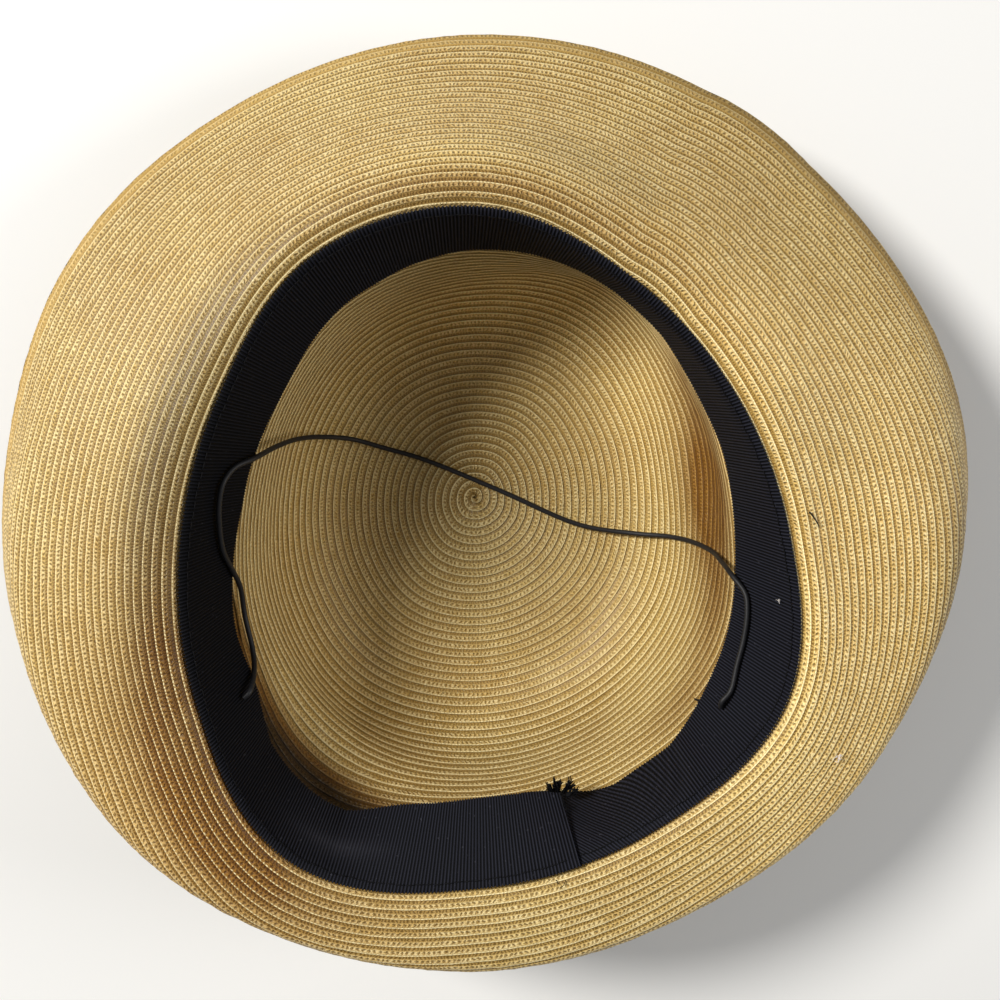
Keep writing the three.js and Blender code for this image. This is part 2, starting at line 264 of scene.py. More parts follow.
def wall_height(slope):
    lip = math.radians(LIP_SLOPE)
    bends = SHOULDER_RADIUS * (1 - np.cos(slope)) + TURN_RADIUS * (math.cos(lip) - np.cos(slope))
    return CROWN_DEPTH - bends


def wall_slope(azimuth):
    """The wall's slope in radians, with which the crown's section just reaches the headline."""
    lip = math.radians(LIP_SLOPE)
    wanted = headline_radius(azimuth) - HEAD_RADIUS * column("tip", azimuth)
    low = np.full(np.shape(azimuth), math.radians(50.0))
    high = np.full(np.shape(azimuth), math.radians(89.0))
    for _ in range(30):
        slope = (low + high) / 2
        bends = SHOULDER_RADIUS * np.sin(slope) + TURN_RADIUS * (np.sin(slope) - math.sin(lip))
        reach = bends + wall_height(slope) / np.tan(slope)
        low = np.where(reach > wanted, slope, low)
        high = np.where(reach > wanted, high, slope)
    return low


def dent_lift(azimuth, share):
    lift = 0
    for dent in DENTS:
        turned = apart(azimuth, dent["azimuth"]) / dent["turn"]
        lift = lift + dent["depth"] * np.exp(-(turned**2) - ((share - dent["at"]) / dent["spread"]) ** 2)
    return lift


class StrawSection:
    """One section of the straw's inner face, which gives a place for any row of the braid."""

    fine_steps = 240

    def __init__(self, azimuth):
        self.azimuth = azimuth
        wall = float(wall_slope(np.array(azimuth)))
        lip = math.radians(LIP_SLOPE)
        lengths = [
            HEAD_RADIUS * float(column("tip", azimuth)),
            SHOULDER_RADIUS * wall,
            float(wall_height(wall)) / math.sin(wall),
            TURN_RADIUS * (wall - lip),
        ]
        ends = np.cumsum(lengths)
        self.total = ends[-1]
        along = np.linspace(0, self.total, self.fine_steps + 1)
        slope = np.interp(along, [0, ends[0], ends[1], ends[2], ends[3]], [0, 0, wall, wall, lip])
        distance = np.linspace(0, BRIM_WIDTH, self.fine_steps + 1)
        self.along = np.concatenate([along, self.total + distance[1:]])
        self.slope = np.concatenate([slope, self.brim_slope(distance[1:])])
        middle = (self.slope[1:] + self.slope[:-1]) / 2
        step = np.diff(self.along)
        self.r = np.concatenate([[0], np.cumsum(step * np.cos(middle))])
        self.z = STRAW_WALL + np.concatenate([[0], np.cumsum(step * np.sin(middle))])

    def brim_slope(self, distance):
        share = distance / BRIM_WIDTH
        names = ("root", "middle", "outer", "fold_start", "fold_length")
        root, middle, outer, start, length = (float(column(name, self.azimuth)) for name in names)
        inner = root + (middle - root) * smooth(share / MIDDLE_SHARE)
        own = inner + (outer - middle) * smooth((share - start) / length)
        blend = smooth(distance / LIP_LENGTH)
        return np.radians(LIP_SLOPE * (1 - blend) + own * blend)

    def at(self, rows, lift):
        """Places at these rows, moved along the normal toward the hollow."""
        crown = np.minimum(rows, CROWN_ROWS) / CROWN_ROWS * self.total
        along = crown + np.maximum(rows - CROWN_ROWS, 0) / BRIM_ROWS * BRIM_WIDTH
        r = np.interp(along, self.along, self.r)
        z = np.interp(along, self.along, self.z)
        slope = np.interp(along, self.along, self.slope)
        lift = lift + np.where(rows < CROWN_ROWS, dent_lift(self.azimuth, along / self.total), 0)
        r = r - lift * np.sin(slope)
        z = z + lift * np.cos(slope)
        angle = math.radians(self.azimuth)
        return np.stack([r * math.cos(angle), r * math.sin(angle), z], -1)


def random_walk(count, seed, smoothing):
    """Smooth seeded noise of about unit size that closes on itself."""
    rng = np.random.default_rng(seed)
    values = rng.normal(size=count)
    kernel = np.hanning(smoothing + 2)
    kernel = kernel / np.sqrt((kernel**2).sum())
    return np.convolve(np.tile(values, 3), kernel, "same")[count : 2 * count]


def new_object(name, vertices, faces, material, attributes=None):
    """A ridden mesh from places in mm, with attributes for each vertex or for each face corner."""
    mesh = bpy.data.meshes.new(name)
    mesh.from_pydata((np.asarray(vertices) * MM).tolist(), [], [tuple(map(int, face)) for face in faces])
    for key, values in (attributes or {}).items():
        domain = "POINT" if len(values) == len(vertices) else "CORNER"
        layer = mesh.attributes.new(key, "FLOAT", domain)
        layer.data.foreach_set("value", np.asarray(values, np.float32))
    mesh.polygons.foreach_set("use_smooth", np.ones(len(mesh.polygons), bool))
    mesh.materials.append(material)
    obj = bpy.data.objects.new(name, mesh)
    bpy.context.scene.collection.objects.link(obj)
    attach(obj, "root")
    return obj


class Shader:
    """A node material with a few short helpers for sums of textures."""

    def __init__(self, name):
        self.material = bpy.data.materials.new(name)
        self.material.use_nodes = True
        self.tree = self.material.node_tree
        self.tree.nodes.clear()
        self.out = self.tree.nodes.new("ShaderNodeOutputMaterial")
        self.bsdf = self.tree.nodes.new("ShaderNodeBsdfPrincipled")
        self.tree.links.new(self.bsdf.outputs[0], self.out.inputs[0])

    def node(self, kind, settings=None, **inputs):
        made = self.tree.nodes.new(kind)
        for key, value in (settings or {}).items():
            setattr(made, key, value)
        for key, value in inputs.items():
            socket = made.inputs[int(key[1:])] if key[0] == "_" else made.inputs[key.replace("_", " ")]
            self.put(socket, value)
        return made

    def put(self, socket, value):
        if hasattr(value, "links") or isinstance(value, bpy.types.NodeSocket):
            self.tree.links.new(value, socket)
        else:
            socket.default_value = value

    def math(self, operation, a, b=0.0):
        return self.node("ShaderNodeMath", {"operation": operation}, _0=a, _1=b).outputs[0]

    def plus(self, a, *others):
        for other in others:
            a = self.math("ADD", a, other)
        return a

    def minus(self, a, b):
        return self.math("SUBTRACT", a, b)

    def times(self, a, *others):
        for other in others:
            a = self.math("MULTIPLY", a, other)
        return a

    def larger(self, a, b):
        return self.math("MAXIMUM", a, b)

    def wave(self, value):
        return self.math("SINE", value)

    def line(self, value, base, gain):
        return self.plus(base, self.times(value, gain))

    def zone(self, value, fade_in, fade_out):
        return self.times(self.ramp(value, *fade_in), self.ramp(value, *fade_out))

    def attribute(self, name):
        made = self.node("ShaderNodeAttribute", {"attribute_type": "GEOMETRY", "attribute_name": name})
        return made.outputs["Fac"]

    def position(self):
        return self.node("ShaderNodeTexCoord").outputs["Object"]

    def vector(self, x, y, z):
        return self.node("ShaderNodeCombineXYZ", None, X=x, Y=y, Z=z).outputs[0]

    def noise(self, vector, scale, detail, roughness):
        inputs = {"Vector": vector, "Scale": scale, "Detail": detail, "Roughness": roughness}
        return self.node("ShaderNodeTexNoise", None, **inputs).outputs["Fac"]

    def streaks(self, length, width, along, across, detail, roughness):
        """Noise drawn out along the strands."""
        vector = self.vector(self.times(length, along), self.times(width, across), 0.0)
        return self.noise(vector, 1.0, detail, roughness)

    def ramp(self, value, low, high):
        """0 below low, 1 above high, smooth between."""
        settings = {"interpolation_type": "SMOOTHSTEP", "clamp": True}
        return self.node("ShaderNodeMapRange", settings, Value=value, _1=low, _2=high).outputs[0]

    def mix(self, factor, a, b):
        made = self.node("ShaderNodeMix", {"data_type": "RGBA"})
        self.put(made.inputs[0], factor)
        self.put(made.inputs[6], a)
        self.put(made.inputs[7], b)
        return made.outputs[2]

    def tinted(self, colour, tint):
        made = self.node("ShaderNodeMix", {"data_type": "RGBA", "blend_type": "MULTIPLY"})
        self.put(made.inputs[0], 1.0)
        self.put(made.inputs[6], colour)
        self.put(made.inputs[7], tint)
        return made.outputs[2]

    def scaled(self, colour, factor):
        return self.tinted(colour, (factor, factor, factor, 1.0))

    def bump(self, height, distance, strength):
        made = self.node("ShaderNodeBump", None, Height=height, Distance=distance, Strength=strength)
        self.tree.links.new(made.outputs[0], self.bsdf.inputs["Normal"])

    def set(self, **values):
        for key, value in values.items():
            self.put(self.bsdf.inputs[key.replace("_", " ")], value)


def srgb(red, green, blue):
    """Colour values from 0 to 255 as the photograph shows them, made linear."""
    def linear(value):
        value = value / 255
        return value / 12.92 if value <= 0.04045 else ((value + 0.055) / 1.055) ** 2.4
    return (linear(red), linear(green), linear(blue), 1.0)


def straw_material():
    """Braid of split straw: crossing strands, a beaded ridge at each row's lapping edge, and a groove;
    shade is painted in the grooves, the holes and patches of the crown's wall, light and shade on patches
    of the tip and brim, and highlight on the lit strands and partly on the ridge's beads.
    """
    s = Shader("sewn_straw_braid")
    row = s.attribute("row")
    along = s.attribute("along")
    stain_and_shade = s.attribute("stain_and_shade")
    tone = s.attribute("tone")
    spiral = s.attribute("spiral")
    phase = s.math("FRACT", row)
    onto_brim = s.ramp(spiral, *ONTO_BRIM)
    patch = s.noise(s.position(), 22.0, 3.0, 0.55)
    clump, fibre, grain = (s.streaks(along, spiral, **look) for look in (CLUMPS, FIBRES, GRAINS))
    slip = s.plus(s.times(s.minus(clump, 0.5), CLUMP_SLIP), s.times(s.minus(grain, 0.5), GRAIN_SLIP))
    turn = s.plus(s.times(along, 2 * math.pi / STRAND_PITCH), slip)
    slant = s.times(phase, 2 * math.pi * STRAND_SLANT)
    over = s.wave(s.plus(turn, slant))
    under = s.wave(s.minus(s.plus(turn, UNDER_LAG), slant))
    lattice = s.ramp(s.larger(over, under), -0.6, 0.95)
    beads = s.line(s.wave(s.times(turn, STRAND_PITCH / BEAD_PITCH)), 0.5, 0.5)
    braid = s.zone(phase, BRAID_IN, BRAID_OUT)
    ridge = s.zone(phase, RIDGE_IN, RIDGE_OUT)
    holes = s.times(s.zone(phase, HOLES_IN, HOLES_OUT), s.ramp(s.wave(turn), 0.0, 0.7))
    # Painted shade in the groove between rows, partly the straw's own darker colour there.
    groove = s.larger(s.ramp(phase, *GROOVE_OUT), s.ramp(phase, *GROOVE_IN))
    groove = s.times(groove, s.line(onto_brim, *GROOVE_BY_BRIM))
    groove = s.times(groove, s.line(s.wave(s.times(turn, GROOVE_DOTS)), *GROOVE_BY_STRAND))
    strands = s.times(braid, lattice)
    gaps = s.times(braid, s.minus(1.0, lattice))
    flecks = s.ramp(fibre, 0.54, 0.7)
    # The holes and the groove carry painted shade; the lit strands, and partly the ridge's beads, carry
    # painted highlight.
    layers = (
        (s.times(gaps, GAPS), STRAW_GAP),
        (s.times(s.ramp(fibre, 0.48, 0.28), DULL_FIBRES), STRAW_GAP),
        (s.times(flecks, s.line(onto_brim, *FLECKS_BY_BRIM)), STRAW_BEAD),
        (s.times(holes, s.line(onto_brim, *HOLES_BY_BRIM)), STRAW_GROOVE_SHADE),
        (s.times(strands, s.ramp(clump, 0.25, 0.75), LIT_STRANDS), STRAW_BEAD),
        (s.times(ridge, s.line(beads, *RIDGE_BY_BEAD)), STRAW_BEAD),
        (s.times(groove, s.line(fibre, *GROOVE_BY_FIBRE)), STRAW_GROOVE_SHADE),
        (s.times(s.ramp(row, *HEM_IN), HEM), STRAW_HEM),
    )
    gold = s.mix(s.ramp(patch, 0.35, 0.7), srgb(*STRAW_MID), srgb(*STRAW_LIGHT))
    for strength, colour in layers:
        gold = s.mix(strength, gold, srgb(*colour))
    # Paler and duller patches, many of them painted light and painted shade, and the deepest painted shade
    # darker once more.
    gold = s.mix(s.larger(tone, 0.0), gold, s.scaled(gold, PALER))
    gold = s.mix(s.larger(s.times(tone, -1.0), 0.0), gold, s.scaled(gold, DULLER))
    gold = s.mix(s.larger(s.minus(-1.0, tone), 0.0), gold, s.scaled(gold, DEEPEST_PAINTED_SHADE))
    # Brown stains, and shade painted as brown patches on the crown's wall.
    gold = s.mix(s.times(stain_and_shade, s.ramp(patch, 0.0, 0.6)), gold, s.tinted(gold, STAIN_AND_SHADE_TINT))
    rubbed = s.times(ridge, beads, s.plus(RUBBED_WHERE_CLEAN, stain_and_shade), onto_brim, RUBBED_BEADS)
    gold = s.mix(rubbed, gold, srgb(*STRAW_BEAD))
    height = s.plus(strands, s.times(ridge, s.line(beads, *RIDGE_HEIGHT_BY_BEAD)))
    height = s.plus(s.minus(height, s.times(holes, HOLE_DEPTH)), s.times(fibre, FIBRE_HEIGHT))
    s.set(Base_Color=gold, Roughness=0.45, Specular_IOR_Level=0.4)
    s.bump(height, 0.00035, 0.85)
    return s.material


def ribbon_material():
    """Black grosgrain with fine threads across its ribs: highlights painted on the rib tops, shade in the
    valleys, shade where the strip faces away from the light, and a highlight along one fold.
    """
    s = Shader("black_grosgrain")
    rib = s.attribute("rib")
    across = s.attribute("across")
    weave = s.streaks(rib, across, **WEAVE)
    top = s.line(s.math("COSINE", s.times(rib, 2 * math.pi)), 0.5, 0.5)
    threads = s.wave(s.times(across, 2 * math.pi * THREADS_PER_MM))
    fade = s.ramp(s.noise(s.position(), 26.0, 2.0, 0.5), 0.3, 0.75)
    lint = s.ramp(s.noise(s.position(), 900.0, 1.0, 0.4), 0.72, 0.78)
    colour = s.mix(fade, srgb(*RIBBON_BLACK), srgb(*RIBBON_FADED))
    # Painted highlight on the rib tops, then painted shade in the valleys.
    colour = s.mix(s.times(top, weave, 0.8), colour, srgb(*RIBBON_RIB_HIGHLIGHT))
    colour = s.mix(s.minus(1.0, top), colour, srgb(*RIBBON_VALLEY_SHADE))
    # Painted shade where the strip faces away from the light, then a painted highlight along one fold.
    colour = s.mix(s.attribute("painted_shade"), colour, s.scaled(colour, RIBBON_SHADE_SCALE))
    colour = s.mix(s.times(s.attribute("painted_highlight"), 0.25), colour, srgb(*RIBBON_FOLD_HIGHLIGHT))
    colour = s.mix(s.times(lint, 0.3), colour, srgb(*RIBBON_LINT))
    s.set(Base_Color=colour, Roughness=0.7, Specular_IOR_Level=0.12)
    s.bump(s.plus(s.times(threads, 0.2), weave, top), 0.00012, 0.7)
    return s.material


def thread_material(name, colour, fineness, gloss):
    """Twisted or braided yarn with paler fuzz."""
    s = Shader(name)
    dark = srgb(*colour)
    pale = tuple(value * FUZZ_GAIN + FUZZ_LIFT for value in dark[:3]) + (1.0,)
    fuzz = s.noise(s.position(), fineness, 3.0, 0.6)
    s.set(Base_Color=s.mix(fuzz, dark, pale), Roughness=0.55, Specular_IOR_Level=gloss)
    s.bump(fuzz, 0.0001, 0.8)
    return s.material


def barb_material():
    s = Shader("black_enamelled_barb")
    wear = s.ramp(s.noise(s.position(), 700.0, 3.0, 0.6), 0.6, 0.72)
    s.set(Base_Color=s.mix(wear, srgb(*BARB_BLACK), srgb(*BARB_WORN)), Roughness=0.3, Metallic=0.4)
    s.bump(wear, 0.00002, 0.5)
    return s.material


# Where sweat and handling have browned the straw, and where shade is painted as brown patches on the
# crown's wall: azimuth and row, their spreads, and how strongly.
STAINS_AND_SHADE = [
    {"azimuth": 217, "turn": 29, "row": 63, "spread": 9.5, "amount": 0.6},
    {"azimuth": 224, "turn": 24, "row": 56.5, "spread": 4.5, "amount": 1.1},
    {"azimuth": 196, "turn": 30, "row": 55.5, "spread": 3, "amount": 0.5},
    {"azimuth": 58, "turn": 22, "row": 57.5, "spread": 3, "amount": 0.3},
    {"azimuth": 92, "turn": 26, "row": 56, "spread": 2.2, "amount": 0.6},
    # The next two patches are painted shade on the crown's wall far behind the ribbon at the lower left.
    {"azimuth": 234, "turn": 18, "row": 44, "spread": 3.4, "amount": 4.0},
    {"azimuth": 208, "turn": 18, "row": 45, "spread": 4, "amount": 1.6},
    # The next four patches are painted shade in the valley of the crown's right wall and in the corner
    # under the ribbon at the lower right.
    {"azimuth": 5, "turn": 20, "row": 35, "spread": 5, "amount": 1.6},
    {"azimuth": 28, "turn": 12, "row": 37.5, "spread": 4, "amount": 1.0},
    {"azimuth": 338, "turn": 14, "row": 38, "spread": 3, "amount": 0.6},
    {"azimuth": 318, "turn": 12, "row": 41, "spread": 3, "amount": 0.5},
]

# Where the straw is paler (above 0) or duller (below 0) than elsewhere, in the same way; the patches marked
# below are painted light and painted shade.
TONES_AND_SHADING = [
    {"azimuth": 355, "turn": 40, "row": 62, "spread": 12, "amount": 1.0},
    # The next patch is painted deepest shade on the crown's wall behind the ribbon at the lower left.
    {"azimuth": 234, "turn": 15, "row": 44.5, "spread": 3.0, "amount": -6.0},
    {"azimuth": 0, "turn": 400, "row": 0, "spread": 9, "amount": -0.35},
    {"azimuth": 345, "turn": 60, "row": 66, "spread": 14, "amount": 0.35},
    # The next three patches are painted shade on the brim's rolled edge at the right, where it turns away
    # from the light.
    {"azimuth": 40, "turn": 50, "row": 81.5, "spread": 2.2, "amount": -1.2},
    {"azimuth": 352, "turn": 20, "row": 75.5, "spread": 4, "amount": -1.2},
    {"azimuth": 325, "turn": 22, "row": 73, "spread": 5, "amount": -1.0},
    # The next patch is painted light on the brim beside the ribbon at the upper right.
    {"azimuth": 40, "turn": 18, "row": 57, "spread": 5, "amount": 0.7},
    {"azimuth": 322, "turn": 30, "row": 64, "spread": 12, "amount": 0.45},
    # The next patch is painted shade on the brim at the upper right, where it falls away from the light.
    {"azimuth": 45, "turn": 26, "row": 72, "spread": 8, "amount": -0.3},
    {"azimuth": 14, "turn": 14, "row": 62, "spread": 5, "amount": -0.5},
    {"azimuth": 98, "turn": 40, "row": 72, "spread": 12, "amount": -0.12},
    {"azimuth": 72, "turn": 16, "row": 63, "spread": 3.5, "amount": -0.35},
    {"azimuth": 222, "turn": 34, "row": 66, "spread": 9, "amount": 0.8},
    {"azimuth": 272, "turn": 34, "row": 62, "spread": 6, "amount": -0.3},
    # The next patch is painted shade on the brim's inner slope beside the ribbon at the left.
    {"azimuth": 165, "turn": 38, "row": 57, "spread": 3.6, "amount": -0.9},
    {"azimuth": 95, "turn": 34, "row": 58, "spread": 3.5, "amount": 0.1},
    {"azimuth": 175, "turn": 50, "row": 68, "spread": 8, "amount": 0.15},
    # The next three patches are painted light on the tip.
    {"azimuth": 30, "turn": 45, "row": 27, "spread": 8, "amount": 0.6},
    {"azimuth": 190, "turn": 60, "row": 24, "spread": 12, "amount": 0.5},
    {"azimuth": 95, "turn": 40, "row": 27, "spread": 12, "amount": 0.5},
    {"azimuth": 250, "turn": 160, "row": 8, "spread": 11, "amount": -0.5},
    {"azimuth": 275, "turn": 30, "row": 33, "spread": 7, "amount": -0.4},
    # The next patch is a painted highlight along the lit top of the crown's right wall, by the ribbon.
    {"azimuth": 12, "turn": 30, "row": 43, "spread": 1.8, "amount": 1.4},
]


def patches_at(patches, azimuth, rows):
    """The sum of the soft patches on these rows, -2 to 1."""
    total = 0
    for patch in patches:
        turned = apart(azimuth, patch["azimuth"]) / patch["turn"]
        aside = (rows - patch["row"]) / patch["spread"]
        total = total + patch["amount"] * np.exp(-(turned**2) - aside**2)
    return np.clip(total, -2, 1)


# Across one row of the braid: phase, and lift of the inner and of the outer face in mm. Its outer edge
# laps over the next row.
INNER_PROFILE = [(0.03, -0.5), (0.34, -0.22), (0.62, 0.02), (0.84, 0.16), (0.97, 0.04)]
OUTER_PROFILE = [(0.05, 0.0), (0.36, 0.06), (0.7, 0.22), (0.95, 0.46)]

# The share of that lift on the inner face in the crown and on the brim.
CROWN_RELIEF = 0.56
BRIM_RELIEF = 0.5

# The hand-sewn unevenness of the rows: its height in mm, samples for each step round the hat, the shift
# from one row to the next, and the noise's seed and smoothing.
UNEVENNESS = 0.05
RIPPLE_STEPS = 8
RIPPLE_SHIFT = 37
RIPPLE_SEED = 5
RIPPLE_SMOOTHING = 9

# What each corner of the braid tells the material, and the phase that the rim's cut edge shows.
TOLD = ("row", "along", "stain_and_shade", "tone", "spiral")
ROW, ALONG, STAIN_AND_SHADE, TONE_AND_SHADING, SPIRAL = range(len(TOLD))
RIM_PHASE = 0.9


def braid_face(first_row, last_row, azimuths, inner):
    """One face of the braid between two rows: points, faces, what their corners tell, and its rim."""
    profile = INNER_PROFILE if inner else OUTER_PROFILE
    per_row = len(profile)
    turns_made = last_row - first_row + 2
    phases = np.array([first_row - 1 + n + phase for n in range(turns_made) for phase, _ in profile])
    lifts = np.array([lift for _ in range(turns_made) for _, lift in profile])
    if inner:
        fade = smooth((phases - ONTO_BRIM[0]) / (ONTO_BRIM[1] - ONTO_BRIM[0]))
        lifts = lifts * (CROWN_RELIEF + (BRIM_RELIEF - CROWN_RELIEF) * fade)
    else:
        lifts = lifts - STRAW_WALL
    count = len(phases)
    steps = len(azimuths)
    ripple = random_walk(steps * RIPPLE_STEPS, RIPPLE_SEED, RIPPLE_SMOOTHING)
    shifts = np.arange(count) // per_row * RIPPLE_SHIFT
    places = np.zeros((steps, count, 3))
    told = np.zeros((steps, count, len(TOLD)))
    turns = azimuths / 360
    for i, azimuth in enumerate(azimuths):
        raw = phases + turns[i]
        kept = np.clip(raw, first_row, last_row)
        uneven = UNEVENNESS * ripple[(i * RIPPLE_STEPS + shifts) % len(ripple)] if inner else 0
        places[i] = StrawSection(azimuth).at(kept, lifts + uneven)
        told[i, :, ROW] = phases
        told[i, :, STAIN_AND_SHADE] = patches_at(STAINS_AND_SHADE, azimuth, kept)
        told[i, :, TONE_AND_SHADING] = patches_at(TONES_AND_SHADING, azimuth, kept)
        told[i, :, SPIRAL] = raw
    radius = np.hypot(places[:, :, 0], places[:, :, 1])
    mean = radius.mean(0).reshape(turns_made, per_row).mean(1)
    length = np.repeat(2 * math.pi * mean, per_row)
    start = np.repeat(np.concatenate([[0], np.cumsum(2 * math.pi * mean)[:-1]]), per_row)
    told[:, :, ALONG] = start + turns[:, None] * length
    index = np.arange(steps * count).reshape(steps, count)
    strips = np.stack([index[:-1, :-1], index[:-1, 1:], index[1:, 1:], index[1:, :-1]], -1).reshape(-1, 4)
    last, first = index[-1, : count - per_row], index[0, per_row:]
    seam = np.stack([last[:-1], last[1:], first[1:], first[:-1]], -1)
    quads = np.concatenate([strips, seam])
    told = told.reshape(-1, len(TOLD))[quads]
    told[len(strips) :, 2:, ROW] -= 1
    raw = told[:, :, SPIRAL]
    inside = ~(np.all(raw <= first_row, 1) | np.all(raw >= last_row, 1))
    quads, told = quads[inside], told[inside]
    if not inner:
        quads, told = quads[:, ::-1], told[:, ::-1]
    return places.reshape(-1, 3), quads, told, index[:, -1]


def clean(obj):
    """Merges the points that the clipped first and last rows leave on one another, and drops flat faces."""
    bm = bmesh.new()
    bm.from_mesh(obj.data)
    bmesh.ops.remove_doubles(bm, verts=bm.verts, dist=0.02 * MM)
    bmesh.ops.dissolve_degenerate(bm, edges=bm.edges, dist=0.01 * MM)
    loose = [vertex for vertex in bm.verts if not vertex.link_faces]
    bmesh.ops.delete(bm, geom=loose, context="VERTS")
    bm.to_mesh(obj.data)
    bm.free()
    obj.data.polygons.foreach_set("use_smooth", np.ones(len(obj.data.polygons), bool))
    obj.data.set_sharp_from_angle(angle=math.radians(50))


def braid_piece(name, first_row, last_row, steps, material, closed_edge):
    azimuths = np.arange(steps) * 360 / steps
    inner = braid_face(first_row, last_row, azimuths, True)
    outer = braid_face(first_row, last_row, azimuths, False)
    base = len(inner[0])
    vertices = np.concatenate([inner[0], outer[0]])
    quads = np.concatenate([inner[1], outer[1] + base])
    told = np.concatenate([inner[2], outer[2]])
    if closed_edge:
        near, far = inner[3], outer[3] + base
        rims = np.stack([near, far, np.roll(far, -1), np.roll(near, -1)], -1)
        quads = np.concatenate([quads, rims])
        edge = np.tile(told[-1:, :1], (steps, 4, 1))
        edge[:, :, ROW] = last_row + RIM_PHASE
        told = np.concatenate([told, edge])
    attributes = {key: told[:, :, i].ravel() for i, key in enumerate(TOLD)}
    obj = new_object(name, vertices, quads, material, attributes)
    clean(obj)
    return obj


def lean_at(azimuth):
    """The ribbon's lean from upright in degrees, never less than the wall's own."""
    folded = around(RIBBON_LEAN, azimuth)
    for fold in RIBBON_FOLDS:
        folded = folded + fold["lean"] * np.exp(-((apart(azimuth, fold["azimuth"]) / fold["spread"]) ** 2))
    return np.maximum(folded, 90 - np.degrees(wall_slope(azimuth)) + 0.5)


def ribbon_frame(azimuth, distance):
    """Radius, height and slope of the ribbon's back at these azimuths and distances from the headline."""
    climb = smooth((azimuth - (LAP_TO - LAP_RISE)) / (LAP_RISE / 2))
    lift = CLEARANCE + (RIBBON_THICKNESS + CLEARANCE) * climb
    lip = math.radians(LIP_SLOPE)
    down = np.radians(90 - lean_at(azimuth))
    radius = TURN_RADIUS + lift
    bend = radius * (down - lip)
    slope = np.where(distance < bend, lip + distance / radius, down)
    r = headline_radius(azimuth) - lift * math.sin(lip) - radius * (np.sin(slope) - math.sin(lip))
    z = HEADLINE_HEIGHT + lift * math.cos(lip) - radius * (math.cos(lip) - np.cos(slope))
    rest = np.maximum(distance - bend, 0)
    return r - rest * np.cos(down), z - rest * np.sin(down), slope


def on_ribbon(azimuth, distance, lift):
    """Places at a lift from the ribbon's back toward the hollow."""
    r, z, slope = ribbon_frame(azimuth, distance)
    r = r - lift * np.sin(slope)
    z = z + lift * np.cos(slope)
    angle = np.radians(azimuth)
    return np.stack([r * np.cos(angle), r * np.sin(angle), z], -1)


# The ribbon's ribs in mm: pitch, height, how far each stands out at the edges, and the line on which they
# are evenly spaced; then the samples for each rib, and the lanes across the ribbon as shares of its width.
RIB_PITCH = 0.94
RIB_HEIGHT = 0.16
PICOT = 0.22
RIB_LINE = 6.0
RIB_SAMPLES = 4
RIBBON_LANES = [0.0, 0.012, 0.04, 0.1, 0.2, 0.32, 0.46, 0.6, 0.74, 0.86, 0.95, 0.985, 1.0]
LINE_SAMPLES = 721
THREADS_PER_MM = 2.2

# Where its faces lie in its thickness, the share of the ribs' height on the back, and how its edges thin
# out, in mm and over which share of the width.
FRONT_SHARE = 0.72
BACK_SHARE = 0.28
BACK_RIBS = 0.3
EDGE_THINNING = 0.15
EDGE_SHARE = 0.02

# The free edge's waves: depth in mm, the lane from which they grow, and the noise's seed and smoothing.
WAVE_DEPTH = 0.5
WAVE_FROM = 0.35
WAVE_SEED = 21
WAVE_SMOOTHING = 120

# Beside the lap the strip is pulled askew: how far the fold reaches, where it is deepest, in degrees from
# the strip's start, its depth in mm, the lanes over which it grows and how much the ribs slant.
FOLD_TURN = 36.0
FOLD_AT = 13.0
FOLD_SPREAD = 5.0
FOLD_DEPTH = 1.3
FOLD_FROM = 0.15
FOLD_FADE = 0.5
FOLD_SLANT = 0.9

# Where shade is painted on the strip, where it faces away from the light, and where a highlight is painted
# along one fold, in degrees and lanes.
RIBBON_SHADE_AT = 180.0
RIBBON_SHADE_TURN = 62.0
RIBBON_SHADE_SCALE = 0.3
HIGHLIGHT_AT = 245.0
HIGHLIGHT_TURN = 7.0
HIGHLIGHT_LANE = 0.45
HIGHLIGHT_SPREAD = 0.12


def ribbon_line(distance, lift):
    """Azimuths along the strip, and its length up to each of them in mm."""
    azimuths = np.linspace(LAP_FROM - 360, LAP_TO, LINE_SAMPLES)
    line = on_ribbon(azimuths, np.full_like(azimuths, distance), lift)
    lengths = np.linalg.norm(np.diff(line, axis=0), axis=1)
    return azimuths, np.concatenate([[0], np.cumsum(lengths)])


def ladder(a, b, c, d):
    return np.stack([a, b, c, d], -1).reshape(-1, 4)


